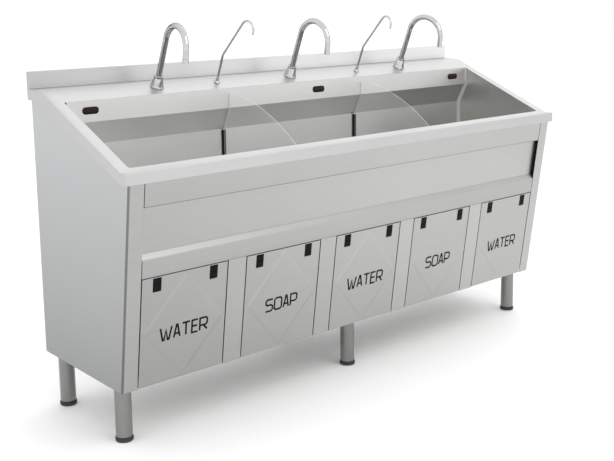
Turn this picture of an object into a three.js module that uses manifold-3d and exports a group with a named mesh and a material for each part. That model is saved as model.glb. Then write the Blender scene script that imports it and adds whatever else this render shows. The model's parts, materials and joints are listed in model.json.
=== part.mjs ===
// Three-station surgical scrub sink with knee panels. Millimetres, +X right, +Y to the wall, +Z up.
// The origin is on the floor under the middle of the sink.
import * as THREE from 'three';
import { mergeVertices } from 'three/addons/utils/BufferGeometryUtils.js';
import Module from 'manifold-3d';

const wasm = await Module();
wasm.setup();

// Driving dimensions.
const LENGTH = 2100;
const DEPTH = 636;
const CABINET_WIDTH = 2074;
const CABINET_BOTTOM = 190;
const FRONT_BOTTOM_Y = -212;
const FRONT_TOP_Y = -309;
const FRONT_TOP_Z = 873;
const SHEET = 2;
const GAP = 0.4;

const RIM_FRONT_Z = 911;
const RIM_REAR_Z = 1123;
const RIM_HEIGHT = 38;
const RIM_SKIN = 2.7;
const RIM_FLAT_FRONT = 36;
const RIM_FLAT_REAR = 98;
const SPLASH_TOP = 1182;
const SPLASH_DEPTH = 22;

const BAY_HALF_WIDTH = 1008;
const BASIN_FRONT_Y = -266;
const BASIN_REAR_Y = 177;
const BASIN_FLOOR_Z = 684;
const BASIN_FALL = 16;
const BASIN_SLOPE_TOP_Z = 890;
const BASIN_SLOPE_FOOT_Y = -130;
const BASIN_LEDGE_Z = 931;
const CONSOLE_Y = 136;
const CONSOLE_BOTTOM_Z = 1013;
const DRAIN_Y = -25;
const OUTLET_Z = 530;
const STRAINER_HOLES = 7;

const STATION_PITCH = 618;
const FAUCET_Y = 187;
const FAUCET_BASE_HEIGHT = 45;
const SPOUT_RADIUS = 10.5;
const SPOUT_RISE = 183;
const SPOUT_BEND = 80;
const SPOUT_SWEEP = 165;
const SPOUT_TAIL = 34;
const SPOUT_REST_TURNS = [-7, 1, 8];
const SOAP_X = 359;
const SOAP_Y = 183;
const SOAP_TUBE_RADIUS = 4.5;
const SOAP_REST_TURNS = [5, -6];

const DIVIDER_X = 339;
const DIVIDER_THICKNESS = 6;
const DIVIDER_BOTTOM_Z = 820;
const CHANNEL_HALF_WIDTH = 5.5;
const CHANNEL_DEPTH = 8;
const CHANNEL_WALL = 3;
const SENSOR_XS = [-912, 106, 917];
const SENSOR_Z = 1052;

const PANEL_COUNT = 5;
const PANEL_PITCH = 407.2;
const PANEL_WIDTH = 326;
const PANEL_TOP = 375;
const PANEL_FOLD = 18;
const PANEL_GAP = 4;
const HINGE_OFFSET = 108;
const HINGE_WIDTH = 28;
const PIVOT_HEIGHT = 349.5;
const VALVE_DROP = 90;
const APRON_BOTTOM = 378;
const APRON_TOP = 457;
const RECESS_TOP = 610;
const RECESS_DEPTH = 14;
const RECESS_TUCK = 34;
const BAND_TOP = 715;
const BAND_GAP = 2.4;
const BAND_BEND = 4;

const LEG_RADIUS = 27.5;
const LEG_X = 993;
const LEG_FRONT_Y = -137;
const LEG_REAR_Y = 253;
const FOOT_RADIUS = 29.5;
const FOOT_HEIGHT = 16;

// Sizes that follow from them.
const HALF = LENGTH / 2;
const FRONT_Y = -DEPTH / 2;
const BACK_Y = DEPTH / 2;
const CABINET_HALF = CABINET_WIDTH / 2;
const FRONT_LEAN = Math.atan2(FRONT_BOTTOM_Y - FRONT_TOP_Y, FRONT_TOP_Z - CABINET_BOTTOM);
const RIM_FLAT_FRONT_Y = FRONT_Y + RIM_FLAT_FRONT;
const RIM_FLAT_REAR_Y = BACK_Y - RIM_FLAT_REAR;
const RIM_SLOPE = (RIM_REAR_Z - RIM_FRONT_Z) / (RIM_FLAT_REAR_Y - RIM_FLAT_FRONT_Y);
const DECK_TILT = Math.atan(RIM_SLOPE);
const OPENING_WIDTH = PANEL_PITCH * (PANEL_COUNT - 1) + PANEL_WIDTH + 2 * PANEL_GAP;
const POST_WIDTH = PANEL_PITCH - PANEL_WIDTH - 2 * PANEL_GAP;

const radians = THREE.MathUtils.degToRad;
const series = (count, make) => Array.from({ length: count }, (_, i) => make(i));

// ---------- finishes ----------
function finish(color, roughness, metalness, opacity = 1) {
  return new THREE.MeshStandardMaterial({
    color,
    roughness,
    metalness,
    opacity,
    transparent: opacity < 1,
  });
}

const steel = () => finish(0xc3c5c4, 0.35, 0.9);
const innerSteel = () => finish(0x9c9d9b, 0.4, 0.9);
const chrome = () => finish(0xe4e6e8, 0.08, 1);
const blackPlastic = () => finish(0x17181a, 0.45, 0);
const rubber = () => finish(0x0c0c0d, 0.75, 0);
const darkGlass = () => finish(0x1a0d10, 0.12, 0);
const clear = () => finish(0xe8f0ef, 0.05, 0, 0.3);
const greyPlastic = () => finish(0x8b8f93, 0.5, 0);
const tankPlastic = () => finish(0xdfe3df, 0.45, 0);

// ---------- shape helpers ----------
// An outline of [a, b] pairs drawn as a flat shape.
function outlineShape(outline) {
  return new THREE.Shape(outline.map(([a, b]) => new THREE.Vector2(a, b)));
}

function prism(shape, depth) {
  return new THREE.ExtrudeGeometry(shape, { depth, bevelEnabled: false, curveSegments: 8 });
}

// A section in Y and Z, carried along X.
function prismX(shape, x0, x1) {
  const axes = new THREE.Matrix4().set(0, 0, 1, x0, 1, 0, 0, 0, 0, 1, 0, 0, 0, 0, 0, 1);
  return prism(shape, x1 - x0).applyMatrix4(axes);
}

// A section in X and Z, carried along Y.
function prismY(shape, y0, y1) {
  const axes = new THREE.Matrix4().set(1, 0, 0, 0, 0, 0, -1, y1, 0, 1, 0, 0, 0, 0, 0, 1);
  return prism(shape, y1 - y0).applyMatrix4(axes);
}

// A section in X and Y, carried along Z.
function prismZ(shape, z0, z1) {
  return prism(shape, z1 - z0).translate(0, 0, z0);
}

function box(x0, x1, y0, y1, z0, z1) {
  const geometry = new THREE.BoxGeometry(x1 - x0, y1 - y0, z1 - z0);
  return geometry.translate((x0 + x1) / 2, (y0 + y1) / 2, (z0 + z1) / 2);
}

// A profile of [radius, height] pairs turned about +Z.
function turned(profile, segments = 20) {
  const points = profile.map(([r, z]) => new THREE.Vector2(r, z));
  return new THREE.LatheGeometry(points, segments).rotateX(Math.PI / 2);
}

function rod(radius, z0, z1, segments = 20) {
  const geometry = new THREE.CylinderGeometry(radius, radius, z1 - z0, segments);
  return geometry.rotateX(Math.PI / 2).translate(0, 0, (z0 + z1) / 2);
}

// A solid made along +Z, turned to run along +Y.
function alongY(geometry) {
  return geometry.rotateX(-Math.PI / 2);
}

function roundedRectangle(x0, x1, y0, y1, radius) {
  const shape = new THREE.Shape();
  shape.moveTo(x0 + radius, y0);
  shape.lineTo(x1 - radius, y0);
  shape.absarc(x1 - radius, y0 + radius, radius, -Math.PI / 2, 0);
  shape.lineTo(x1, y1 - radius);
  shape.absarc(x1 - radius, y1 - radius, radius, 0, Math.PI / 2);
  shape.lineTo(x0 + radius, y1);
  shape.absarc(x0 + radius, y1 - radius, radius, Math.PI / 2, Math.PI);
  shape.lineTo(x0, y0 + radius);
  shape.absarc(x0 + radius, y0 + radius, radius, Math.PI, 1.5 * Math.PI);
  return shape;
}

// ---------- boolean helpers ----------
function toSolid(geometry) {
  const bare = geometry.clone();
  bare.deleteAttribute('normal');
  bare.deleteAttribute('uv');
  const merged = mergeVertices(bare, 1e-4);
  const vertProperties = new Float32Array(merged.attributes.position.array);
  const triVerts = new Uint32Array(merged.index.array);
  return new wasm.Manifold(new wasm.Mesh({ numProp: 3, vertProperties, triVerts }));
}

function toGeometry(solid) {
  const mesh = solid.getMesh();
  const geometry = new THREE.BufferGeometry();
  geometry.setAttribute('position', new THREE.BufferAttribute(mesh.vertProperties, 3));
  geometry.setIndex(new THREE.BufferAttribute(mesh.triVerts, 1));
  geometry.computeVertexNormals();
  return geometry;
}

function fold(operation, geometries) {
  const solids = geometries.map(toSolid);
  return toGeometry(solids.reduce((whole, next) => whole[operation](next)));
}

const join = (...geometries) => fold('add', geometries);
const cut = (...geometries) => fold('subtract', geometries);
const common = (...geometries) => fold('intersect', geometries);

// ---------- scene graph ----------
const sink = new THREE.Group();

function place(parent, name, geometry, material) {
  const mesh = new THREE.Mesh(geometry, material);
  mesh.name = name;
  parent.add(mesh);
  return mesh;
}

// The leaning front: here +Z runs up the face and +Y into the cabinet.
const front = new THREE.Group();
front.position.set(0, FRONT_BOTTOM_Y, CABINET_BOTTOM);
front.rotation.x = FRONT_LEAN;
sink.add(front);

// A group standing square on the sloping deck.
function onDeck(x, y) {
  const group = new THREE.Group();
  group.position.set(x, y, deckHeight(y));
  group.rotation.x = DECK_TILT;
  sink.add(group);
  return group;
}

// ---------- rim, deck and backsplash ----------
function deckHeight(y) {
  const run = THREE.MathUtils.clamp(y, RIM_FLAT_FRONT_Y, RIM_FLAT_REAR_Y) - RIM_FLAT_FRONT_Y;
  return RIM_FRONT_Z + RIM_SLOPE * run;
}

const underDeck = (y) => deckHeight(y) - RIM_SKIN - GAP;

function topDeck() {
  const upper = [
    [BACK_Y, RIM_REAR_Z],
    [RIM_FLAT_REAR_Y, RIM_REAR_Z],
    [RIM_FLAT_FRONT_Y, RIM_FRONT_Z],
    [FRONT_Y, RIM_FRONT_Z],
  ];
  const lower = upper.map(([y, z]) => [y, z - RIM_HEIGHT]).reverse();
  const outside = prismX(outlineShape([...upper, ...lower]), -HALF, HALF);
  const ceiling = upper.map(([y, z]) => [
    THREE.MathUtils.clamp(y, FRONT_Y + RIM_SKIN, BACK_Y - RIM_SKIN),
    z - RIM_SKIN,
  ]);
  const open = [
    [FRONT_Y + RIM_SKIN, RIM_FRONT_Z - 2 * RIM_HEIGHT],
    [BACK_Y - RIM_SKIN, RIM_FRONT_Z - 2 * RIM_HEIGHT],
  ];
  const hollow = prismX(outlineShape([...ceiling, ...open]), -HALF + RIM_SKIN, HALF - RIM_SKIN);
  const bay = roundedRectangle(-BAY_HALF_WIDTH, BAY_HALF_WIDTH, BASIN_FRONT_Y, CONSOLE_Y, 10);
  return cut(outside, hollow, prismZ(bay, BASIN_FLOOR_Z, SPLASH_TOP));
}

function backsplash() {
  const base = RIM_REAR_Z + GAP;
  return cut(
    box(-HALF, HALF, BACK_Y - SPLASH_DEPTH, BACK_Y, base, SPLASH_TOP),
    box(-HALF + SHEET, HALF - SHEET, BACK_Y - SPLASH_DEPTH + SHEET, BACK_Y - SHEET,
      base - SHEET, SPLASH_TOP - SHEET),
  );
}

place(sink, 'top_deck', topDeck(), steel());
place(sink, 'backsplash', backsplash(), steel());

// ---------- basin, sensor console and dividers ----------
// The basin's section in Y and Z, grown by a wall thickness.
function basinSection(wall) {
  return [
    [BASIN_REAR_Y + wall, SPLASH_TOP],
    [BASIN_FRONT_Y - wall, SPLASH_TOP],
    [BASIN_FRONT_Y - wall, BASIN_SLOPE_TOP_Z],
    [BASIN_SLOPE_FOOT_Y - wall, BASIN_FLOOR_Z + 10 - wall],
    [BASIN_SLOPE_FOOT_Y + 14, BASIN_FLOOR_Z - wall],
    [BASIN_REAR_Y - 27, BASIN_FLOOR_Z - wall],
    [BASIN_REAR_Y - 7 + wall, BASIN_FLOOR_Z + 8 - wall],
    [BASIN_REAR_Y + wall, BASIN_FLOOR_Z + 28],
  ];
}

// The basin's section in X and Z, with the floor falling to the drain.
function basinFall(wall) {
  const side = BAY_HALF_WIDTH + wall;
  return [
    [-side, SPLASH_TOP],
    [-side, BASIN_FLOOR_Z + BASIN_FALL - wall],
    [-60, BASIN_FLOOR_Z - wall],
    [60, BASIN_FLOOR_Z - wall],
    [side, BASIN_FLOOR_Z + BASIN_FALL - wall],
    [side, SPLASH_TOP],
  ];
}

function basinBlock(wall) {
  const side = BAY_HALF_WIDTH + wall;
  return common(
    prismX(outlineShape(basinSection(wall)), -side, side),
    prismY(outlineShape(basinFall(wall)), BASIN_FRONT_Y - wall, BASIN_REAR_Y + wall),
  );
}

function basin() {
  const rearEnd = BASIN_REAR_Y + 2 * SHEET;
  const cover = [
    [FRONT_Y, underDeck(FRONT_Y)],
    [RIM_FLAT_FRONT_Y, underDeck(RIM_FLAT_FRONT_Y)],
    [rearEnd, underDeck(rearEnd)],
    [rearEnd, 2 * SPLASH_TOP],
    [FRONT_Y, 2 * SPLASH_TOP],
  ];
  const tub = cut(
    basinBlock(SHEET),
    basinBlock(0),
    prismX(outlineShape(cover), -HALF, HALF),
    box(-BAY_HALF_WIDTH, BAY_HALF_WIDTH, BASIN_REAR_Y - 10, rearEnd,
      BASIN_LEDGE_Z - GAP, SPLASH_TOP),
  );
  const drain = rod(22, BASIN_FLOOR_Z - 20, BASIN_FLOOR_Z + 20).translate(0, DRAIN_Y, 0);
  return cut(tub, drain);
}

// The folded sheet behind the spouts: sensor face, undercut and a lap behind the basin's rear wall.
function sensorConsole() {
  const top = underDeck(CONSOLE_Y);
  const lap = BASIN_REAR_Y + SHEET + GAP;
  const section = [
    [CONSOLE_Y, top],
    [CONSOLE_Y, CONSOLE_BOTTOM_Z],
    [BASIN_REAR_Y, BASIN_LEDGE_Z + GAP],
    [lap, BASIN_LEDGE_Z],
    [lap, BASIN_LEDGE_Z - 26],
    [lap + SHEET, BASIN_LEDGE_Z - 26],
    [lap + SHEET, BASIN_LEDGE_Z + 2 * SHEET],
    [CONSOLE_Y + SHEET, CONSOLE_BOTTOM_Z + SHEET],
    [CONSOLE_Y + SHEET, top],
  ];
  return prismX(outlineShape(section), -BAY_HALF_WIDTH + GAP, BAY_HALF_WIDTH - GAP);
}

function sensorWindow(x) {
  const face = roundedRectangle(x - 30, x + 30, SENSOR_Z - 12.5, SENSOR_Z + 12.5, 9);
  return prismY(face, CONSOLE_Y - GAP - 3, CONSOLE_Y - GAP);
}

function divider(x) {
  const rear = BASIN_REAR_Y - 4;
  const shape = new THREE.Shape();
  const slope = (BASIN_SLOPE_FOOT_Y - BASIN_FRONT_Y) / (BASIN_SLOPE_TOP_Z - BASIN_FLOOR_Z - 10);
  const foot = BASIN_FRONT_Y + slope * (BASIN_SLOPE_TOP_Z - DIVIDER_BOTTOM_Z) + 4;
  shape.moveTo(foot, DIVIDER_BOTTOM_Z);
  shape.lineTo(rear, DIVIDER_BOTTOM_Z);
  shape.lineTo(rear, BASIN_LEDGE_Z - 3);
  shape.lineTo(CONSOLE_Y - 1, CONSOLE_BOTTOM_Z - 7);
  shape.lineTo(CONSOLE_Y - 1, 1066);
  shape.bezierCurveTo(30, 1076, -150, 1004, BASIN_FRONT_Y + 4, 905);
  shape.lineTo(BASIN_FRONT_Y + 4, BASIN_SLOPE_TOP_Z);
  const half = DIVIDER_THICKNESS / 2;
  return prismX(shape, x - half, x + half);
}

// The dark channel that holds a divider's rear edge.
function dividerChannel(x) {
  const slot = DIVIDER_THICKNESS / 2 + GAP;
  const back = BASIN_REAR_Y - GAP;
  const front = back - CHANNEL_DEPTH;
  const section = outlineShape([
    [x - CHANNEL_HALF_WIDTH, front],
    [x - slot, front],
    [x - slot, back - CHANNEL_WALL],
    [x + slot, back - CHANNEL_WALL],
    [x + slot, front],
    [x + CHANNEL_HALF_WIDTH, front],
    [x + CHANNEL_HALF_WIDTH, back],
    [x - CHANNEL_HALF_WIDTH, back],
  ]);
  return prismZ(section, DIVIDER_BOTTOM_Z - 3, BASIN_LEDGE_Z - 4);
}

place(sink, 'basin', basin(), innerSteel());
place(sink, 'sensor_console', sensorConsole(), innerSteel());
SENSOR_XS.forEach((x, i) => place(sink, `sensor_window_${i + 1}`, sensorWindow(x), darkGlass()));
[-DIVIDER_X, DIVIDER_X].forEach((x, i) => {
  place(sink, `divider_${i + 1}`, divider(x), clear());
  place(sink, `divider_channel_${i + 1}`, dividerChannel(x), blackPlastic());
});

// ---------- faucets ----------
// A round bend in the YZ plane that starts straight up at [y, z] and leans over towards -Y.
class Bend extends THREE.Curve {
  constructor(y, z, radius, fromDegrees, toDegrees) {
    super();
    Object.assign(this, { y, z, radius, from: radians(fromDegrees), to: radians(toDegrees) });
  }

  getPoint(t, target = new THREE.Vector3()) {
    const angle = this.from + (this.to - this.from) * t;
    const y = this.y + this.radius * Math.cos(angle);
    return target.set(0, y, this.z + this.radius * Math.sin(angle));
  }
}

// A path of straight runs and bends: [straight length] or [straight length, bend radius, bend degrees].
function bentPath(startHeight, runs) {
  const path = new THREE.CurvePath();
  const at = new THREE.Vector3(0, 0, startHeight);
  let lean = 0;
  for (const [length, radius, degrees] of runs) {
    const heading = new THREE.Vector3(0, -Math.sin(radians(lean)), Math.cos(radians(lean)));
    const next = at.clone().addScaledVector(heading, length);
    path.add(new THREE.LineCurve3(at.clone(), next.clone()));
    at.copy(next);
    if (radius) {
      const y = at.y - radius * Math.cos(radians(lean));
      const z = at.z - radius * Math.sin(radians(lean));
      const bend = new Bend(y, z, radius, lean, lean + degrees);
      path.add(bend);
      at.copy(bend.getPoint(1));
      lean += degrees;
    }
  }
  return path;
}

function tube(path, radius, sides, steps) {
  const corner = (i) => {
    const angle = (i * 2 * Math.PI) / sides;
    return [radius * Math.cos(angle), radius * Math.sin(angle)];
  };
  const section = outlineShape(series(sides, corner));
  return new THREE.ExtrudeGeometry(section, { steps, extrudePath: path, bevelEnabled: false });
}

function faucetBase() {
  return turned([
    [0, GAP],
    [25, GAP],
    [25, 3],
    [22, 5],
    [15.5, 38],
    [16.5, 40],
    [16.5, FAUCET_BASE_HEIGHT],
    [8.5, FAUCET_BASE_HEIGHT],
    [8.5, 16],
    [0, 16],
  ]);
}

function faucetSpout(turn) {
  const bottom = FAUCET_BASE_HEIGHT + GAP;
  const path = bentPath(bottom, [
    [SPOUT_RISE - bottom, SPOUT_BEND, SPOUT_SWEEP],
    [SPOUT_TAIL],
  ]);
  const spigot = rod(8, 20, bottom + 6, 16);
  return join(tube(path, SPOUT_RADIUS, 12, 26), spigot).rotateZ(radians(turn));
}

function soapSpout(turn) {
  const path = bentPath(10, [
    [94, 40, 23],
    [160, 32, 150],
    [8],
  ]);
  const base = turned([
    [0, GAP],
    [11, GAP],
    [11, 3],
    [6.5, 6],
    [6.5, 22],
    [0, 22],
  ], 16);
  return join(tube(path, SOAP_TUBE_RADIUS, 8, 30), base).rotateZ(radians(turn));
}

SPOUT_REST_TURNS.forEach((turn, i) => {
  const group = onDeck((i - 1) * STATION_PITCH, FAUCET_Y);
  place(group, `faucet_base_${i + 1}`, faucetBase(), chrome());
  place(group, `faucet_spout_${i + 1}`, faucetSpout(turn), chrome());
});

SOAP_REST_TURNS.forEach((turn, i) => {
  const group = onDeck(i ? SOAP_X : -SOAP_X, SOAP_Y);
  place(group, `soap_spout_${i + 1}`, soapSpout(turn), chrome());
});

// ---------- cabinet ----------
// A side sheet whose front edge rolls round into the stile.
function sidePanel(side) {
  const cornerRadius = 8;
  const outer = CABINET_HALF;
  const inner = OPENING_WIDTH / 2;
  const sheetFront = FRONT_BOTTOM_Y + cornerRadius + 3;
  const topFront = RIM_FLAT_FRONT_Y - 20;
  const flat = prismX(outlineShape([
    [BACK_Y - 3, CABINET_BOTTOM],
    [BACK_Y - 3, underDeck(BACK_Y)],
    [RIM_FLAT_REAR_Y, underDeck(RIM_FLAT_REAR_Y)],
    [RIM_FLAT_FRONT_Y, underDeck(RIM_FLAT_FRONT_Y)],
    [topFront, underDeck(topFront)],
    [sheetFront, CABINET_BOTTOM],
  ]), outer - SHEET, outer);
  const stile = new THREE.Shape();
  stile.moveTo(outer, 18);
  stile.lineTo(outer, cornerRadius);
  stile.absarc(outer - cornerRadius, cornerRadius, cornerRadius, 0, -Math.PI / 2, true);
  stile.lineTo(inner, 0);
  stile.lineTo(inner, SHEET);
  stile.lineTo(outer - cornerRadius, SHEET);
  stile.absarc(outer - cornerRadius, cornerRadius, cornerRadius - SHEET, -Math.PI / 2, 0, false);
  stile.lineTo(outer - SHEET, 18);
  const upright = prismZ(stile, 0, BAND_TOP);
  const lean = upright.rotateX(FRONT_LEAN).translate(0, FRONT_BOTTOM_Y, CABINET_BOTTOM);
  const right = join(flat, lean);
  if (side > 0) return right;
  const mirrored = right.applyMatrix4(new THREE.Matrix4().makeScale(-1, 1, 1));
  const index = mirrored.index.array;
  for (let i = 0; i < index.length; i += 3) [index[i], index[i + 1]] = [index[i + 1], index[i]];
  mirrored.computeVertexNormals();
  return mirrored;
}

const inside = CABINET_HALF - SHEET - GAP;

function backPanel() {
  const rear = BACK_Y - 5;
  const top = underDeck(BACK_Y) - RIM_HEIGHT;
  const sheet = box(-inside, inside, rear - SHEET, rear, CABINET_BOTTOM, top);
  return cut(sheet, alongY(rod(24, 0, 40)).translate(0, rear - 20, OUTLET_Z));
}

function bottomPanel() {
  const level = CABINET_BOTTOM + 2;
  return box(-inside, inside, FRONT_BOTTOM_Y + 44, BACK_Y - 8, level, level + SHEET);
}

place(sink, 'left_side_panel', sidePanel(-1), steel());
place(sink, 'right_side_panel', sidePanel(1), steel());
place(sink, 'back_panel', backPanel(), innerSteel());
place(sink, 'bottom_panel', bottomPanel(), innerSteel());

// ---------- leaning front ----------
const frontHalf = OPENING_WIDTH / 2 - BAND_GAP;

// The upper band and the recess under it are one folded sheet.
function frontBand() {
  const face = RECESS_DEPTH + GAP;
  const tuck = OPENING_WIDTH / 2 + RECESS_TUCK;
  const band = new THREE.Shape();
  band.moveTo(0, BAND_TOP);
  band.lineTo(0, RECESS_TOP + BAND_BEND);
  band.absarc(BAND_BEND, RECESS_TOP + BAND_BEND, BAND_BEND, Math.PI, 1.5 * Math.PI, false);
  band.lineTo(face + SHEET, RECESS_TOP);
  band.lineTo(face + SHEET, RECESS_TOP + SHEET);
  band.lineTo(BAND_BEND, RECESS_TOP + SHEET);
  band.absarc(
    BAND_BEND, RECESS_TOP + BAND_BEND, BAND_BEND - SHEET, 1.5 * Math.PI, Math.PI, true);
  band.lineTo(SHEET, BAND_TOP);
  return join(
    prismX(band, -frontHalf, frontHalf),
    box(-tuck, tuck, face, face + SHEET, APRON_TOP - 10, RECESS_TOP + SHEET),
  );
}

// The strip under the recess, with a sloping ledge along its top and a fold along its bottom.
function frontApron() {
  const section = [
    [RECESS_DEPTH, APRON_TOP],
    [4, APRON_TOP - 15],
    [1.2, APRON_TOP - 18.5],
    [0, APRON_TOP - 23],
    [0, APRON_BOTTOM],
    [PANEL_FOLD, APRON_BOTTOM],
    [PANEL_FOLD, APRON_BOTTOM + SHEET],
    [SHEET, APRON_BOTTOM + SHEET],
    [SHEET, APRON_TOP - 23],
    [5.5, APRON_TOP - 16.5],
    [RECESS_DEPTH, APRON_TOP - SHEET - 0.8],
  ];
  return prismX(outlineShape(section), -frontHalf, frontHalf);
}

function doorPost(x) {
  const half = POST_WIDTH / 2;
  const section = [
    [x - half, 0],
    [x + half, 0],
    [x + half, RECESS_DEPTH],
    [x + half - SHEET, RECESS_DEPTH],
    [x + half - SHEET, SHEET],
    [x - half + SHEET, SHEET],
    [x - half + SHEET, RECESS_DEPTH],
    [x - half, RECESS_DEPTH],
  ];
  return prismZ(outlineShape(section), 0, APRON_BOTTOM - GAP);
}

place(front, 'front_band', frontBand(), steel());
place(front, 'front_apron', frontApron(), steel());

const panelX = (i) => (i - (PANEL_COUNT - 1) / 2) * PANEL_PITCH;

for (let i = 0; i < PANEL_COUNT - 1; i += 1) {
  place(front, `door_post_${i + 1}`, doorPost(panelX(i + 0.5)), steel());
}

// ---------- knee panels, hinges and valves ----------
const hingeXs = (x) => [x - HINGE_OFFSET, x + HINGE_OFFSET];

function kneePanel(x) {
  const half = PANEL_WIDTH / 2;
  const window = (hx) =>
    box(hx - 15.5, hx + 15.5, -1, 3, PIVOT_HEIGHT - 24, PIVOT_HEIGHT + 22.5);
  return cut(
    box(x - half, x + half, 0, PANEL_FOLD, 2, PANEL_TOP),
    box(x - half + SHEET, x + half - SHEET, SHEET, PANEL_FOLD + 1, 2 + SHEET, PANEL_TOP - SHEET),
    ...hingeXs(x).map(window),
  );
}

const panelXs = series(PANEL_COUNT, panelX);
const valveHeight = PIVOT_HEIGHT - VALVE_DROP;

// A knuckle through each of a panel's two windows, on one strap behind the panel's skin.
function hingeStrap(x) {
  const half = HINGE_WIDTH / 2;
  const reach = HINGE_OFFSET + half + 8;
  const knuckle = (hx) =>
    box(hx - half, hx + half, -1.5, 8, PIVOT_HEIGHT - 22.5, PIVOT_HEIGHT - 0.8);
  return join(
    box(x - reach, x + reach, SHEET + GAP, 5.4, PIVOT_HEIGHT - 30, PIVOT_HEIGHT - 2),
    ...hingeXs(x).map(knuckle),
  );
}

// The fixed knuckles above the pivot line, on one rail behind the apron.
function hingeRail() {
  const half = HINGE_WIDTH / 2;
  const arm = (x) => join(
    box(x - half, x + half, -1.5, 22, PIVOT_HEIGHT + 0.8, PIVOT_HEIGHT + 21),
    box(x - half, x + half, 19, 22, PIVOT_HEIGHT + 0.8, PIVOT_HEIGHT + 60),
  );
  return join(
    box(-inside, inside, 20.5, 24, PIVOT_HEIGHT + 32, PIVOT_HEIGHT + 70),
    ...panelXs.flatMap(hingeXs).map(arm),
  );
}

// Five knee valves, one behind each panel, on a rail between the side panels.
function valveBank() {
  const body = (x) => box(x - 22, x + 22, 42, 94, valveHeight - 22, valveHeight + 22);
  const bore = (x) => alongY(rod(4.6, 40, 84, 16)).translate(x, 0, valveHeight);
  const rail = box(-inside, inside, 92, 96, valveHeight - 20, valveHeight + 20);
  return cut(join(rail, ...panelXs.map(body)), ...panelXs.map(bore));
}

function valvePlunger(x) {
  const profile = [[0, 2.6], [7, 2.6], [7, 8], [4, 8], [4, 72], [0, 72]];
  return alongY(turned(profile, 16)).translate(x, 0, valveHeight);
}

panelXs.forEach((x, i) => {
  place(front, `knee_panel_${i + 1}`, kneePanel(x), steel());
  place(front, `hinge_strap_${i + 1}`, hingeStrap(x), blackPlastic());
  place(front, `valve_plunger_${i + 1}`, valvePlunger(x), chrome());
});
place(front, 'hinge_rail', hingeRail(), blackPlastic());
place(front, 'valve_bank', valveBank(), innerSteel());

// ---------- waste and soap supply ----------
// Strainer, tailpiece, bottle trap and outlet, clamped round the hole in the basin's floor.
function wasteTrap() {
  const under = BASIN_FLOOR_Z - SHEET - GAP;
  const over = BASIN_FLOOR_Z + GAP;
  const upright = turned([
    [0, 430],
    [30, 430],
    [36, 440],
    [36, 560],
    [20, 572],
    [20, under - 14],
    [34, under - 4],
    [34, under],
    [20, under],
    [20, over],
    [36, over],
    [36, over + 2],
    [33, over + 3],
    [0, over + 3],
    [0, over],
    [17, over],
    [17, 590],
    [0, 590],
  ], 24);
  const hole = (i) => {
    const angle = i * radians(360 / STRAINER_HOLES);
    return rod(3.5, over - 5, over + 5, 8).translate(12 * Math.cos(angle), 12 * Math.sin(angle), 0);
  };
  const holes = series(STRAINER_HOLES, hole);
  const outlet = alongY(rod(20, 20, BACK_Y - 1 - DRAIN_Y)).translate(0, 0, OUTLET_Z);
  return cut(join(upright, outlet), ...holes).translate(0, DRAIN_Y, 0);
}

function soapTank() {
  const floor = CABINET_BOTTOM + 2 + SHEET + GAP;
  return turned([
    [0, floor],
    [68, floor],
    [72, floor + 6],
    [72, floor + 190],
    [24, floor + 222],
    [24, floor + 246],
    [0, floor + 246],
  ], 24).translate(SOAP_X, 150, 0);
}

place(sink, 'waste_trap', wasteTrap(), greyPlastic());
place(sink, 'soap_tank', soapTank(), tankPlastic());

// ---------- legs and levelling feet ----------
function leg() {
  const top = CABINET_BOTTOM + 2 - GAP;
  const bottom = FOOT_HEIGHT + GAP;
  return turned([
    [9, bottom],
    [LEG_RADIUS, bottom],
    [LEG_RADIUS, top - 3],
    [36, top - 3],
    [36, top],
    [LEG_RADIUS - SHEET, top],
    [LEG_RADIUS - SHEET, bottom + 14],
    [9, bottom + 14],
    [9, bottom],
  ]);
}

function levellingFoot() {
  return turned([
    [0, 0],
    [23, 0],
    [27.5, 2.5],
    [FOOT_RADIUS, 7],
    [FOOT_RADIUS, FOOT_HEIGHT],
    [8, FOOT_HEIGHT],
    [8, FOOT_HEIGHT + 46],
    [0, FOOT_HEIGHT + 46],
  ]);
}

const columns = { left: -LEG_X, middle: 0, right: LEG_X };
const rows = { front: LEG_FRONT_Y, rear: LEG_REAR_Y };

for (const [row, y] of Object.entries(rows)) {
  for (const [column, x] of Object.entries(columns)) {
    place(sink, `leg_${row}_${column}`, leg(), steel()).position.set(x, y, 0);
    place(sink, `foot_${row}_${column}`, levellingFoot(), rubber()).position.set(x, y, 0);
  }
}

export default sink;
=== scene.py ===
"""A three-station stainless steel scrub sink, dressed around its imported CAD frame."""

import json
import math

import bmesh
import bpy
from mathutils import Matrix, Vector


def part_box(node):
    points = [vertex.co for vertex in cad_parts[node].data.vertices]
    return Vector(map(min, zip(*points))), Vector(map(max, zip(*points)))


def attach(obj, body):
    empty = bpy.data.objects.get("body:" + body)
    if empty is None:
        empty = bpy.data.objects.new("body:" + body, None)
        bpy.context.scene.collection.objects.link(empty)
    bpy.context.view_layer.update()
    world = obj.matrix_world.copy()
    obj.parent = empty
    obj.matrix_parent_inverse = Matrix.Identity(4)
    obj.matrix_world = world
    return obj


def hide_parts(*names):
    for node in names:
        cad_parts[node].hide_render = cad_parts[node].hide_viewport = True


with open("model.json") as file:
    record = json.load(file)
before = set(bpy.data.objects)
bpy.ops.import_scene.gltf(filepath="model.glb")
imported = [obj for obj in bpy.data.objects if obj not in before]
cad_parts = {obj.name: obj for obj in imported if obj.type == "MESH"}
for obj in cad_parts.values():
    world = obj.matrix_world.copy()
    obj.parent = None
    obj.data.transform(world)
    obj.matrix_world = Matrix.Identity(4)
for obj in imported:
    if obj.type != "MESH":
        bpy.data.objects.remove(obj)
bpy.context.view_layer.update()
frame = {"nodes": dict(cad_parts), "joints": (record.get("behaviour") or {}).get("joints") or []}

MM = 0.001
nodes = frame["nodes"]
joints = {joint["name"]: joint for joint in frame["joints"]}

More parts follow.
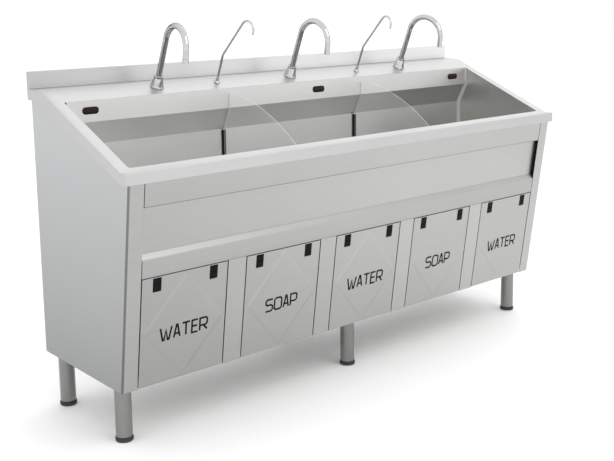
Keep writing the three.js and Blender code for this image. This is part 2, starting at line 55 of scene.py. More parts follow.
# ---------- frames of reference ----------
PLUNGE_AXIS = Vector(joints["valve_plunger_1_press"]["axis"])
FRONT_LEAN = math.atan2(PLUNGE_AXIS.z, PLUNGE_AXIS.y)
FRONT_FOOT = (0, -0.212, 0.190)
FACE = Matrix.Translation(FRONT_FOOT) @ Matrix.Rotation(FRONT_LEAN, 4, "X")

SWIVEL = joints["faucet_spout_2_swivel"]
SWIVEL_AXIS = Vector(SWIVEL["axis"])
DECK_TILT = math.atan2(-SWIVEL_AXIS.y, SWIVEL_AXIS.z)
DECK_SLOPE = math.tan(DECK_TILT)
DECK_POINT = Vector(SWIVEL["pos_m"])
SPOUT_REST_TURNS = (-7, 1, 8)
SOAP_REST_TURNS = (5, -6)
SOAP_PLACES = (-0.359, 0.359)
SOAP_Y = 0.183


def deck_height(y):
    """Height of the sloping deck above the floor."""
    return DECK_POINT.z + DECK_SLOPE * (y - DECK_POINT.y)


def on_deck(x, y, turn=0):
    """Axes standing square on the sloping deck, turned by some degrees about its normal."""
    stand = Matrix.Translation((x, y, deck_height(y))) @ Matrix.Rotation(DECK_TILT, 4, "X")
    return stand @ Matrix.Rotation(math.radians(turn), 4, "Z")


# ---------- materials ----------
def add_node(tree, kind, inputs, settings):
    """Adds a shader node; each input is a number, a colour or another node's output."""
    node = tree.nodes.new(kind)
    for key, value in settings.items():
        setattr(node, key, value)
    for socket, value in inputs.items():
        if isinstance(value, bpy.types.NodeSocket):
            tree.links.new(value, node.inputs[socket])
        else:
            node.inputs[socket].default_value = value
    return node


class Surface:
    """A node material, built from a Principled shader outwards."""

    def __init__(self, name, **constants):
        self.material = bpy.data.materials.new(name)
        self.material.use_nodes = True
        self.tree = self.material.node_tree
        self.shader = self.tree.nodes["Principled BSDF"]
        for socket, value in constants.items():
            self.shader.inputs[socket.replace("_", " ")].default_value = value
        self.coordinates = self.add("ShaderNodeTexCoord").outputs
        self.place = self.coordinates["Object"]

    def add(self, kind, inputs=None, **settings):
        return add_node(self.tree, kind, inputs or {}, settings)

    def noise(self, scale, detail=2.0, stretch=(1, 1, 1), distortion=0.0):
        """A noise value from 0 to 1; a stretch below 1 draws the pattern out along that axis."""
        placed = self.add("ShaderNodeMapping", {"Vector": self.place, "Scale": stretch})
        made = self.add("ShaderNodeTexNoise", {
            "Vector": placed.outputs[0], "Scale": scale, "Detail": detail, "Distortion": distortion,
        })
        return made.outputs[0]

    def spread(self, value, low, high, start=0.3, end=0.7):
        """The value, carried from start..end to low..high."""
        ends = {1: start, 2: end, 3: low, 4: high}
        return self.add("ShaderNodeMapRange", {0: value, **ends}).outputs[0]

    def blend(self, factor, first, second):
        """A colour between two others, each three numbers or another colour's output."""
        ends = [c if isinstance(c, bpy.types.NodeSocket) else (*c, 1) for c in (first, second)]
        made = self.add("ShaderNodeMix", {0: factor, 6: ends[0], 7: ends[1]}, data_type="RGBA")
        return made.outputs[2]

    def either(self, factor, first, second):
        """The first value where the factor is 0, and the second where it is 1."""
        return self.add("ShaderNodeMix", {0: factor, 2: first, 3: second}, data_type="FLOAT").outputs[0]

    def sum(self, first, second, share):
        """first + share * second."""
        made = self.add("ShaderNodeMath", {0: second, 1: share, 2: first}, operation="MULTIPLY_ADD")
        return made.outputs[0]

    def bump(self, height, distance, strength=1.0, under=None):
        """A normal bent by a height, on top of another bent normal where one is given."""
        inputs = {"Height": height, "Distance": distance, "Strength": strength}
        if under is not None:
            inputs["Normal"] = under
        return self.add("ShaderNodeBump", inputs).outputs[0]

    def feed(self, socket, value):
        self.tree.links.new(value, self.shader.inputs[socket])


TONE_RANGE = 0.3
STEEL_CLOUD = 0.05
STREAK_SHARE = 0.5
SCRATCH_SCALE = 1600
STREAK_SCALE = 110
CLOUD_SCALE = 2.6
MOTTLE_SCALE = 19
WAVE_SCALE = 3.2
SCRATCH_DEPTH = 0.00001
# painted shade: the dark colour for faces that look down and for the upright bends
PAINTED_SHADE = (0.10, 0.10, 0.085)
GRAIN = {"X": (0.012, 1, 1), "Y": (1, 0.012, 1), "Z": (1, 1, 0.012)}


def brushed_steel(name, tone, roughness, grain="X", ends=None, painted_light_fade=None, waviness=0.0009,
                  scratch=0.3, under=0.0, over=0.0, bend=0.0):
    """Brushed sheet: fine scratches along the grain, roller streaks, and cloudy handling marks.

    ends is the grain on faces that look along X. The fade is (axis, start, end, share), painted light
    and shade: the tone goes from that share below its own value at start to that share above it
    at end. over is the share of tone that faces looking up lose, painted shade that dims their
    reflection. under and bend are the shares of painted shade, a dark colour, on faces that look
    down and on upright bends between the front and a side, where it stands for a dark reflection."""
    made = Surface(name, Metallic=1.0)
    looks = made.add("ShaderNodeSeparateXYZ", {0: made.coordinates["Normal"]}).outputs
    scratches = made.noise(SCRATCH_SCALE, 2, GRAIN[grain])
    streaks = made.noise(STREAK_SCALE, 3, GRAIN[grain])
    if ends:
        turned = made.add("ShaderNodeMath", {0: looks[0]}, operation="ABSOLUTE").outputs[0]
        sideways = made.spread(turned, 0, 1, 0.6, 0.8)
        scratches = made.either(sideways, scratches, made.noise(SCRATCH_SCALE, 2, GRAIN[ends]))
        streaks = made.either(sideways, streaks, made.noise(STREAK_SCALE, 3, GRAIN[ends]))
    clouds = made.noise(CLOUD_SCALE, 4, distortion=0.4)
    mottle = made.noise(MOTTLE_SCALE, 3)
    cloudy = made.sum(clouds, streaks, STREAK_SHARE)
    lightness = made.spread(cloudy, 0.5 - STEEL_CLOUD, 0.5 + STEEL_CLOUD, 0.5, 1.0)
    step = 1 / (2 * TONE_RANGE)
    # painted light and shade: the tone ramps along one axis
    if painted_light_fade:
        axis, start, end, share = painted_light_fade
        along = made.add("ShaderNodeSeparateXYZ", {0: made.place}).outputs["XYZ".index(axis)]
        lightness = made.sum(lightness, made.spread(along, -share, share, start, end), step)
    # painted shade: faces that look up are darkened, which dims their reflection
    if over:
        lightness = made.sum(lightness, made.spread(looks[2], 0, -over, 0.25, 0.7), step)
    light = [channel * (1 + TONE_RANGE) for channel in tone]
    dark = [channel * (1 - TONE_RANGE) for channel in tone]
    colour = made.blend(lightness, dark, light)
    # painted shade on faces that look down
    if under:
        colour = made.blend(made.spread(looks[2], under, 0, -0.4, -0.1), colour, PAINTED_SHADE)
    # painted shade along the upright bends, standing in for their dark reflection
    if bend:
        product = made.add("ShaderNodeMath", {0: looks[0], 1: looks[1]}, operation="MULTIPLY")
        slanted = made.add("ShaderNodeMath", {0: product.outputs[0]}, operation="ABSOLUTE").outputs[0]
        colour = made.blend(made.spread(slanted, 0, bend, 0.08, 0.36), colour, PAINTED_SHADE)
    made.feed("Base Color", colour)
    rough = made.sum(made.spread(clouds, roughness - 0.04, roughness + 0.04), mottle, 0.04)
    made.feed("Roughness", rough)
    sheet = made.bump(made.noise(WAVE_SCALE, 1), waviness)
    brushed = made.sum(scratches, streaks, 0.15)
    made.feed("Normal", made.bump(brushed, SCRATCH_DEPTH, scratch, sheet))
    return made.material


def polished_chrome():
    """Chrome plate with faint dried water spots."""
    made = Surface("chrome", Metallic=1.0, Specular_Tint=(0.35, 0.36, 0.38, 1))
    spots = made.spread(made.noise(160, 3), 0, 1, 0.62, 0.72)
    film = made.noise(14, 3)
    made.feed("Base Color", made.blend(spots, (0.50, 0.51, 0.53), (0.44, 0.45, 0.46)))
    made.feed("Roughness", made.sum(made.spread(film, 0.04, 0.09), spots, 0.1))
    made.feed("Normal", made.bump(made.noise(45, 2), 0.00002, 0.4))
    return made.material


def moulded(name, tone, roughness, grain_size=1500, depth=0.00006, shift=0.12, **constants):
    """Moulded plastic or rubber with a fine grain and slightly uneven colour."""
    made = Surface(name, **constants)
    uneven = made.noise(35, 4)
    light = [min(1.0, channel * (1 + shift)) for channel in tone]
    dark = [channel * (1 - shift) for channel in tone]
    made.feed("Base Color", made.blend(made.spread(uneven, 0, 1), dark, light))
    made.feed("Roughness", made.spread(uneven, roughness - 0.06, roughness + 0.06))
    made.feed("Normal", made.bump(made.noise(grain_size, 2), depth, 0.6))
    return made.material


def worn_rubber():
    """Black rubber, dusty towards the floor."""
    made = Surface("rubber", IOR=1.5)
    height = made.add("ShaderNodeSeparateXYZ", {0: made.place}).outputs[2]
    dust = made.sum(made.spread(height, 0.35, 0.0, 0.0, 0.012), made.noise(240, 4), 0.3)
    dusty = made.spread(dust, 0, 1, 0.1, 0.6)
    made.feed("Base Color", made.blend(dusty, (0.012, 0.012, 0.013), (0.06, 0.058, 0.055)))
    made.feed("Roughness", made.spread(dust, 0.6, 0.85, 0.0, 0.6))
    made.feed("Normal", made.bump(made.noise(900, 3), 0.0001, 0.7))
    return made.material


def sensor_glass():
    """Infrared-clear plastic, almost black with a red depth."""
    made = Surface("sensor_glass", Coat_Weight=0.08, Coat_Roughness=0.05, Specular_IOR_Level=0.15)
    depth = made.spread(made.noise(60, 2), 0, 1)
    made.feed("Base Color", made.blend(depth, (0.006, 0.003, 0.003), (0.014, 0.004, 0.005)))
    made.feed("Roughness", made.spread(made.noise(300, 2), 0.08, 0.16))
    return made.material


def clear_sheet(name, alpha, tone):
    """Clear acrylic with faint wipe marks."""
    made = Surface(name, Alpha=alpha, IOR=1.49)
    wipes = made.noise(22, 4, (1, 0.3, 1), 0.8)
    wiped = [channel * 0.96 for channel in tone]
    made.feed("Base Color", made.blend(made.spread(wipes, 0, 1), tone, wiped))
    made.feed("Roughness", made.spread(wipes, 0.03, 0.12))
    made.feed("Normal", made.bump(made.noise(6, 1), 0.0004, 0.5))
    return made.material


# front steel with painted light and shade: the tone ramps up across X; painted shade on faces that look
# down and on faces that look up
STEEL = brushed_steel(
    "steel_sheet", (0.432, 0.435, 0.425), 0.36, painted_light_fade=("X", -1, 0.2, 0.08), under=0.5, over=0.22)
# a darker copy of the front steel, painted shade on the apron, with a painted light and shade ramp across
# X and painted shade on faces that look down and up
APRON_STEEL = brushed_steel(
    "steel_apron", (0.377, 0.380, 0.372), 0.36, painted_light_fade=("X", -1, 0, 0.05), under=0.5, over=0.06)
# painted light and shade: the tone ramps up across X
SPLASH_STEEL = brushed_steel("steel_splash", (0.562, 0.565, 0.562), 0.36, painted_light_fade=("X", -1, 0.2, 0.20))
# a bluer copy of the front steel for the side faces, painted for the light on the sides; painted light
# and shade, lighter towards the top; painted shade along the rolled front bends
SIDE_STEEL = brushed_steel(
    "steel_side", (0.385, 0.390, 0.394), 0.38, "Z", painted_light_fade=("Z", 0.2, 1.0, 0.22), bend=0.75)
DECK_STEEL = brushed_steel("steel_deck", (0.487, 0.492, 0.487), 0.42, ends="Y")
# painted shade on faces that look down
BASIN_STEEL = brushed_steel(
    "steel_basin", (0.572, 0.570, 0.559), 0.30, ends="Y", waviness=0.0002, scratch=0.12, under=0.28)
# painted light and shade: the tone ramps up across X
PANEL_STEEL = brushed_steel(
    "steel_panel", (0.379, 0.381, 0.369), 0.34, painted_light_fade=("X", -1, -0.1, 0.09), waviness=0.0006)
LEG_STEEL = brushed_steel("steel_leg", (0.255, 0.260, 0.252), 0.26, "Z", waviness=0.0)
DULL_STEEL = brushed_steel("steel_inside", (0.42, 0.42, 0.41), 0.42, ends="Z")
CHROME = polished_chrome()
# black plastic, also used as painted shade in the strainer's perforations
BLACK_PLASTIC_AND_HOLE_SHADE = moulded("black_plastic", (0.005, 0.005, 0.006), 0.4, Specular_IOR_Level=0.08)
GREY_PLASTIC = moulded("grey_plastic", (0.26, 0.265, 0.27), 0.45)
TANK_PLASTIC = moulded("tank_plastic", (0.66, 0.69, 0.65), 0.38, 700, shift=0.04)
RUBBER = worn_rubber()
SENSOR_GLASS = sensor_glass()
SENSOR_LENS = moulded("sensor_lens", (0.026, 0.004, 0.005), 0.3, 900, 0.00001, Specular_IOR_Level=0.15)
CLEAR_FACE = clear_sheet("clear_face", 0.10, (0.80, 0.84, 0.84))
CLEAR_EDGE = clear_sheet("clear_edge", 0.45, (0.50, 0.52, 0.50))
INK = moulded("black_ink", (0.006, 0.006, 0.007), 0.6, 1100, 0.00003, Specular_IOR_Level=0.08)

NODE_LOOKS = {
    "top_deck": (DECK_STEEL, 1.0),
    "backsplash": (SPLASH_STEEL, 1.0),
    # side panels: the bluer side copy, painted for the light on the sides, and the front steel on faces
    # that look forward
    "left_side_panel": (SIDE_STEEL, 0.6, STEEL),
    "right_side_panel": (SIDE_STEEL, 0.6, STEEL),
    "back_panel": (DULL_STEEL, 0.5),
    "bottom_panel": (DULL_STEEL, 0.5),
    "front_band": (STEEL, 0.7),
    "front_apron": (APRON_STEEL, 0.7),
    "door_post": (STEEL, 0.7),
    "divider_channel": (BLACK_PLASTIC_AND_HOLE_SHADE, 1.0),
    "hinge_strap": (BLACK_PLASTIC_AND_HOLE_SHADE, 0.8),
    "hinge_rail": (BLACK_PLASTIC_AND_HOLE_SHADE, 0.8),
    "valve_plunger": (CHROME, 0.4),
    "valve_bank": (DULL_STEEL, 0.8),
    "waste_trap": (GREY_PLASTIC, 0.6),
    "soap_tank": (TANK_PLASTIC, 3.0),
}


# ---------- mesh helpers ----------
SMOOTH_BELOW = math.radians(32)
FLAT_BELOW = math.radians(0.5)
WELD_DISTANCE = 0.00002
FORWARD_NORMAL = -0.97


def soften(obj, width, segments=2):
    """Rounds an object's sharp edges by a small radius in mm, and keeps its flat faces flat."""
    made = obj.modifiers.new("edges", "BEVEL")
    made.width = width * MM
    made.segments = segments
    made.limit_method = "ANGLE"
    made.angle_limit = SMOOTH_BELOW
    made.use_clamp_overlap = False
    made.harden_normals = True


def level_faces(obj):
    """Large flat faces keep their own normals beside small rounded ones."""
    made = obj.modifiers.new("flats", "WEIGHTED_NORMAL")
    made.keep_sharp = True
    made.weight = 80


def shade(mesh, below=SMOOTH_BELOW):
    """Smooth shading, with sharp edges where the faces meet at a larger angle."""
    mesh.shade_smooth()
    mesh.set_sharp_from_angle(angle=below)


def dress(node, material, width, front=None):
    """Gives a CAD node its material, another for faces that look forward, and softened edges."""
    mesh = node.data
    if "custom_normal" in mesh.attributes:
        mesh.attributes.remove(mesh.attributes["custom_normal"])
    mesh.materials.clear()
    mesh.materials.append(material)
    if front:
        mesh.materials.append(front)
        for face in mesh.polygons:
            face.material_index = int(face.normal.y < FORWARD_NORMAL)
    node.modifiers.new("weld", "WELD").merge_threshold = WELD_DISTANCE
    flat = node.modifiers.new("flat", "DECIMATE")
    flat.decimate_type = "DISSOLVE"
    flat.angle_limit = FLAT_BELOW
    soften(node, width)
    shade(mesh)


def piece(name, bm, body, slot_name, *materials, replaces=(), edge=0.0, smooth=SMOOTH_BELOW):
    """Makes one visible piece from a bmesh in the object's own axes, and lets it ride on a body."""
    bmesh.ops.remove_doubles(bm, verts=bm.verts, dist=1e-6)
    bmesh.ops.recalc_face_normals(bm, faces=bm.faces)
    mesh = bpy.data.meshes.new(name)
    bm.to_mesh(mesh)
    bm.free()
    for material in materials:
        mesh.materials.append(material)
    shade(mesh, smooth)
    obj = bpy.data.objects.new(name, mesh)
    bpy.context.scene.collection.objects.link(obj)
    if edge:
        soften(obj, edge)
    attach(obj, body)
    if replaces:
        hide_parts(*replaces)
    return obj


def add_faces(bm, points, faces):
    """Adds points, given in mm, and faces between them."""
    made = [bm.verts.new(Vector(point) * MM) for point in points]
    return [bm.faces.new([made[i] for i in face]) for face in faces]


def add_rings(bm, rings):
    """Joins rings of points, each with the same count, and closes both ends."""
    count = len(rings[0])
    points = [point for ring in rings for point in ring]
    faces = []
    for level in range(len(rings) - 1):
        low = level * count
        for i in range(count):
            j = (i + 1) % count
            faces.append((low + i, low + j, low + count + j, low + count + i))
    faces.append(tuple(reversed(range(count))))
    faces.append(tuple(range(len(points) - count, len(points))))
    return add_faces(bm, points, faces)


def circle(radius, height, segments, centre=(0, 0)):
    """A level ring of points."""
    turn = 2 * math.pi / segments
    return [
        (centre[0] + radius * math.cos(i * turn), centre[1] + radius * math.sin(i * turn), height)
        for i in range(segments)
    ]


def lathe(bm, profile, segments=48, centre=(0, 0)):
    """A solid turned about an upright axis, from [radius, height] pairs in mm."""
    return add_rings(bm, [circle(radius, height, segments, centre) for radius, height in profile])


def add_box(bm, low, high):
    """A box between two opposite corners, in mm."""
    (x0, y0, z0), (x1, y1, z1) = low, high
    points = [(x, y, z) for z in (z0, z1) for x, y in ((x0, y0), (x1, y0), (x1, y1), (x0, y1))]
    faces = [(3, 2, 1, 0), (4, 5, 6, 7), (0, 1, 5, 4), (1, 2, 6, 5), (2, 3, 7, 6), (3, 0, 4, 7)]
    return add_faces(bm, points, faces)


def take_in(bm, other):
    """Adds another bmesh to this one and frees it."""
    mesh = bpy.data.meshes.new("part")
    other.to_mesh(mesh)
    other.free()
    bm.from_mesh(mesh)
    bpy.data.meshes.remove(mesh)


# ---------- basin liner ----------
BAY_HALF = 1008
DRAIN_FLAT = 60
DRAIN_CENTRE = (0, -25)
LINER_SHEET = 1.5
FLOOR_BELOW = 700
FRONT_FOOT_BEYOND = -100
LONG_EDGE = 100
COVED_BELOW = 900
CONSOLE_BEYOND = 100
FLOOR_FALL = 16
COVE = 12
FOLD = 11
COVE_SMOOTH = math.radians(19)
LINER_GAP = 1.8
BASIN_SECTION = (
    (136, 0), (136, 1013), (177, 931), (177, 712), (170, 692), (150, 684),
    (-116, 684), (-130, 694), (-266, 890), (-266, 0),
)
FRONT_SLANT = (266 - 130) / (890 - 694)


def liner_section(x):
    """The basin's section at one place along it; the floor rises away from the drain."""
    rise = FLOOR_FALL * max(0.0, abs(x) - DRAIN_FLAT) / (BAY_HALF - DRAIN_FLAT)
    section = []
    for y, z in BASIN_SECTION:
        if not z:
            z = deck_height(y * MM) / MM - LINER_GAP
        elif z < FLOOR_BELOW:
            z += rise
            if y < FRONT_FOOT_BEYOND:
                y -= FRONT_SLANT * rise
        section.append((x, y, z))
    return section


def basin_liner():
    """The basin and the console behind it as one sheet, with coved corners and an open top."""
    bm = bmesh.new()
    sections = [liner_section(x) for x in (-BAY_HALF, -DRAIN_FLAT, DRAIN_FLAT, BAY_HALF)]
    add_rings(bm, sections)
    bm.edges.ensure_lookup_table()

    def at_rim(v):
        return abs(v.co.z - deck_height(v.co.y) + LINER_GAP * MM) < 1e-5

    lid = [face for face in bm.faces if all(at_rim(v) for v in face.verts)]
    bmesh.ops.delete(bm, geom=lid, context="FACES_KEEP_BOUNDARY")
    end = BAY_HALF * MM - 1e-5
    rounded, folded = [], []
    for edge in bm.edges:
        if edge.is_boundary:
            continue
        a, b = (v.co for v in edge.verts)
        at_end = abs(a.x) > end and abs(b.x) > end and a.x * b.x > 0
        low = max(a.z, b.z) < COVED_BELOW * MM and abs(a.x - b.x) > LONG_EDGE * MM
        if at_end and min(a.y, b.y) > CONSOLE_BEYOND * MM:
            folded.append(edge)
        elif at_end or low:
            rounded.append(edge)
    for edges, offset, segments in ((folded, FOLD, 1), (rounded, COVE, 6)):
        bmesh.ops.bevel(
            bm, geom=[edge for edge in edges if edge.is_valid], offset=offset * MM,
            offset_type="OFFSET", segments=segments, profile=0.5, affect="EDGES", clamp_overlap=True,
        )
    bmesh.ops.reverse_faces(bm, faces=bm.faces)
    obj = piece("basin_liner", bm, "cabinet", "basin_steel", BASIN_STEEL,
                replaces=("basin", "sensor_console"), smooth=COVE_SMOOTH)
    skin = obj.modifiers.new("skin", "SOLIDIFY")
    skin.thickness = LINER_SHEET * MM
    skin.offset = 1.0
    level_faces(obj)


HOLE_RADIUS = 2.3
HOLE_RINGS = ((1, 0), (6, 9), (12, 18), (17, 27))


def strainer():
    """A dished steel strainer over the drain, with its perforations in rings painted as dark discs of
    shade.
    """
    bm = bmesh.new()
    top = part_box("waste_trap")[1].z / MM
    lathe(bm, [
        (0.5, top), (40, top), (40, top + 0.6), (38, top + 1.6), (33, top + 1.9), (31, top + 1.0),
        (0.5, top + 0.8),
    ], 64, DRAIN_CENTRE)
    piece("strainer", bm, "cabinet", "basin_steel", LEG_STEEL)
    # painted shade: black discs stand in for the dark drain seen through the perforations
    holes = bmesh.new()
    for count, radius in HOLE_RINGS:
        for i in range(count):
            angle = 2 * math.pi * i / count
            across, along = radius * math.cos(angle), radius * math.sin(angle)
            at = (DRAIN_CENTRE[0] + across, DRAIN_CENTRE[1] + along)
            lathe(holes, [(HOLE_RADIUS, top + 0.74), (HOLE_RADIUS, top + 2.2)], 12, at)
    piece("strainer_holes", holes, "cabinet", "basin_steel", BLACK_PLASTIC_AND_HOLE_SHADE)


# ---------- faucets and soap spouts ----------
def bent_path(start, runs, bend_steps):
    """Stations (y, z, lean) along a tube that rises from start and leans towards -Y.

    Each run is a straight length, then a bend's radius and its sweep in degrees, if it has one."""
    y, z, lean = 0.0, start, 0.0
    stations = [(y, z, lean)]
    for length, *bend in runs:
        y -= length * math.sin(lean)
        z += length * math.cos(lean)
        stations.append((y, z, lean))
        if not bend:
            continue
        radius, sweep = bend[0], math.radians(bend[1])
        centre = (y - radius * math.cos(lean), z - radius * math.sin(lean))
        for k in range(1, bend_steps + 1):
            angle = lean + sweep * k / bend_steps
            reach, height = radius * math.cos(angle), radius * math.sin(angle)
            stations.append((centre[0] + reach, centre[1] + height, angle))
        y, z, lean = stations[-1]
    return stations


def ahead(station, distance):
    """The station straight on from another."""
    y, z, lean = station
    return (y - distance * math.sin(lean), z + distance * math.cos(lean), lean)


def tube_ring(station, radius, sides):
    """A ring of points square to the tube at a station."""
    y, z, lean = station
    turn = 2 * math.pi / sides
    ring = []
    for i in range(sides):
        across, over = radius * math.cos(i * turn), radius * math.sin(i * turn)
        ring.append((across, y + over * math.cos(lean), z + over * math.sin(lean)))
    return ring


SPOUT_RADIUS = 10.5
SPOUT_BOTTOM = 45.4
SPOUT_START = SPOUT_BOTTOM + 1.2
SPOUT_RISE = 183
SPOUT_BEND = (80, 165)
SPOUT_BEND_STEPS = 44
SPOUT_TAIL = 34
SET_SCREW_PLACE = (0, 18.6, 20)
SET_SCREW_LEAN = math.radians(-78)


def faucet_spout(index, x, turn):
    """A gooseneck tube that ends in a screwed aerator."""
    stations = bent_path(SPOUT_START, [(SPOUT_RISE - SPOUT_START, *SPOUT_BEND)], SPOUT_BEND_STEPS)
    shown = [((0, SPOUT_BOTTOM, 0), SPOUT_RADIUS - 1.0)]
    shown += [(station, SPOUT_RADIUS) for station in stations]
    aerator = (
        (SPOUT_TAIL - 15.5, SPOUT_RADIUS), (SPOUT_TAIL - 15.2, 9.8), (SPOUT_TAIL - 14.2, 9.8),
        (SPOUT_TAIL - 13.8, 10.7), (SPOUT_TAIL - 0.8, 10.7), (SPOUT_TAIL, 10.0),
        (SPOUT_TAIL, 8.8), (SPOUT_TAIL - 3, 8.5), (SPOUT_TAIL - 3, 3.0), (SPOUT_TAIL - 2.2, 2.4),
    )
    shown += [(ahead(stations[-1], distance), radius) for distance, radius in aerator]
    bm = bmesh.new()
    add_rings(bm, [tube_ring(station, radius, 32) for station, radius in shown])
    bm.transform(on_deck(x, DECK_POINT.y, turn))
    name = f"faucet_spout_{index}"
    piece(f"gooseneck_{index}", bm, name, "chrome", CHROME, replaces=(name,))


def faucet_base(index, x):
    """A flared base with a washer under it and a swivel collar on top."""
    bm = bmesh.new()
    lathe(bm, [
        (0.5, 0.4), (24.6, 0.4), (25, 0.8), (25, 2.4), (24.6, 2.9), (23.4, 3.1), (23.0, 3.6), (22.4, 6.0),
        (21.0, 12.5), (19.4, 20), (17.8, 27.5), (16.2, 35), (15.6, 37.6), (15.6, 38.6), (16.0, 39.2),
        (16.5, 39.7), (16.5, 43.9), (16.2, 44.6), (15.5, 45.0), (11.4, 45.0), (11.0, 44.4), (11.0, 41),
        (0.5, 41),
    ], 64)
    screw = bmesh.new()
    lathe(screw, [(0.5, 0), (2.6, 0), (2.6, 1.0), (2.2, 1.4), (0.5, 1.4)], 20)
    place = Matrix.Translation(Vector(SET_SCREW_PLACE) * MM)
    screw.transform(place @ Matrix.Rotation(SET_SCREW_LEAN, 4, "X"))
    take_in(bm, screw)
    bm.transform(on_deck(x, DECK_POINT.y))
    piece(f"faucet_cone_{index}", bm, "cabinet", "chrome", CHROME,
          replaces=(f"faucet_base_{index}",))


SOAP_START = 20
SOAP_BEND_STEPS = 20
SOAP_LAST_RUN = 0.001
SOAP_RUNS = ((84, 40, 23), (160, 32, 150), (SOAP_LAST_RUN,))
SOAP_LOWER_RADIUS = 4.3
SOAP_UPPER_RADIUS = 3.5
SOAP_TIP = ((2, 3.5), (2.4, 4.1), (7.2, 4.1), (8, 3.7), (8, 2.4), (5, 2.2))


def soap_spout(index, x, turn):
    """A thin bent tube, narrower above its first bend, on a small collar."""
    stations = bent_path(SOAP_START, SOAP_RUNS, SOAP_BEND_STEPS)
    shown = []
    for count, station in enumerate(stations):
        below = count <= SOAP_BEND_STEPS + 1
        shown.append((station, SOAP_LOWER_RADIUS if below else SOAP_UPPER_RADIUS))
    shown += [(ahead(stations[-1], distance), radius) for distance, radius in SOAP_TIP]
    bm = bmesh.new()
    add_rings(bm, [tube_ring(station, radius, 20) for station, radius in shown])
    lathe(bm, [
        (0.5, 0.4), (10.6, 0.4), (11, 0.8), (11, 2.6), (10.4, 3.2), (7.2, 4.6), (6.2, 6), (6.2, 20.5),
        (5.8, 21.6), (5.2, 22), (0.5, 22),
    ], 32)
    bm.transform(on_deck(x, SOAP_Y, turn))
    piece(f"soap_tube_{index}", bm, "cabinet", "chrome", CHROME,
          replaces=(f"soap_spout_{index}",))


# ---------- sensors and dividers ----------
PILL_EDGE = ((0.8, 0), (0.25, 0.25), (0, 0.9))


def pill(bm, centre, half_width, half_height, radius, y_front, y_back, steps=8):
    """A rounded rectangle facing -Y, with its front edge drawn in a little."""
    x0, z0 = centre
    outline = []
    for quarter, (sx, sz) in enumerate(((1, 1), (-1, 1), (-1, -1), (1, -1))):
        for k in range(steps + 1):
            angle = math.radians(90 * (quarter + k / steps))
            outline.append((sx * (half_width - radius), sz * (half_height - radius), angle))

    def ring(y, inset):
        grown = radius - inset
        return [(x0 + a + grown * math.cos(t), y, z0 + b + grown * math.sin(t)) for a, b, t in outline]

    edge = [ring(y_front + depth, inset) for depth, inset in PILL_EDGE]
    add_rings(bm, [ring(y_back, 0), *edge])


WINDOW_INSET = 0.8
WINDOW_SIDE_FLAT = 1.5
LENS_OFFSET = 12
LENS_RADIUS = 6.0
LENS_FRONT = 0.3
LENS_BACK = 1.4


def sensor_window(index):
    """A dark window in the console, with two round lenses in it."""
    node = f"sensor_window_{index}"
    low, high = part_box(node)
    centre = ((low.x + high.x) / 2 / MM, (low.z + high.z) / 2 / MM)
    half = ((high.x - low.x) / 2 / MM, (high.z - low.z) / 2 / MM)
    face, back = low.y / MM, high.y / MM
    bm = bmesh.new()
    pill(bm, centre, half[0], half[1], half[1] - WINDOW_SIDE_FLAT, face + WINDOW_INSET, back)
    piece(f"sensor_face_{index}", bm, "cabinet", "sensor_glass", SENSOR_GLASS, replaces=(node,))
    for side, x in (("emitter", -LENS_OFFSET), ("receiver", LENS_OFFSET)):
        bm = bmesh.new()
        place = (centre[0] + x, centre[1])
        pill(bm, place, LENS_RADIUS, LENS_RADIUS, LENS_RADIUS - 0.1, face + LENS_FRONT, face + LENS_BACK)
        piece(f"sensor_{side}_{index}", bm, "cabinet", "sensor_glass", SENSOR_LENS)


def bezier(points, steps):
    """Points along the cubic curve of four control points."""
    made = []
    for k in range(steps + 1):
        t = k / steps
        weights = ((1 - t) ** 3, 3 * t * (1 - t) ** 2, 3 * t * t * (1 - t), t ** 3)
        made.append(tuple(sum(w * p[axis] for w, p in zip(weights, points)) for axis in (0, 1)))
    return made


DIVIDER_HALF = 2.7
DIVIDER_FOOT = ((-213, 820), (173, 820), (173, 928), (135, 1006))
DIVIDER_CURVE = ((135, 1066), (30, 1076), (-150, 1004), (-262, 905))
DIVIDER_FRONT = (-262, 891)
CLIP_HALF = 7.2
CLIP_JAW_OFFSET = 5.1
CLIP_JAW_HALF = 2.1
CLIP_PLATE_Y = (-265.8, -263)
CLIP_PLATE_Z = (888.5, 910)
CLIP_JAW_Y = (-265.6, -252)
CLIP_JAW_Z = (891, 909)


def divider(index):
    """A clear splash divider with polished edges."""
    node = f"divider_{index}"
    low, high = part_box(node)
    x = (low.x + high.x) / 2 / MM
    outline = [*DIVIDER_FOOT, *bezier(DIVIDER_CURVE, 40), DIVIDER_FRONT]
    bm = bmesh.new()
    rings = [[(side, y, z) for y, z in outline] for side in (x - DIVIDER_HALF, x + DIVIDER_HALF)]
    faces = add_rings(bm, rings)
    for face in faces[:-2]:
        face.material_index = 1
    piece(f"splash_divider_{index}", bm, "cabinet", "clear_panel", CLEAR_FACE, CLEAR_EDGE,
          replaces=(node,), edge=0.8)
    divider_clip(index, x)


def divider_clip(index, x):
    """The small clip that grips a divider at its front."""
    bm = bmesh.new()
    for middle in (x - CLIP_JAW_OFFSET, x + CLIP_JAW_OFFSET):
        low = (middle - CLIP_JAW_HALF, CLIP_JAW_Y[0], CLIP_JAW_Z[0])
        add_box(bm, low, (middle + CLIP_JAW_HALF, CLIP_JAW_Y[1], CLIP_JAW_Z[1]))
    low = (x - CLIP_HALF, CLIP_PLATE_Y[0], CLIP_PLATE_Z[0])
    add_box(bm, low, (x + CLIP_HALF, CLIP_PLATE_Y[1], CLIP_PLATE_Z[1]))
    piece(f"divider_clip_{index}", bm, "cabinet", "black_plastic", BLACK_PLASTIC_AND_HOLE_SHADE, edge=0.8)


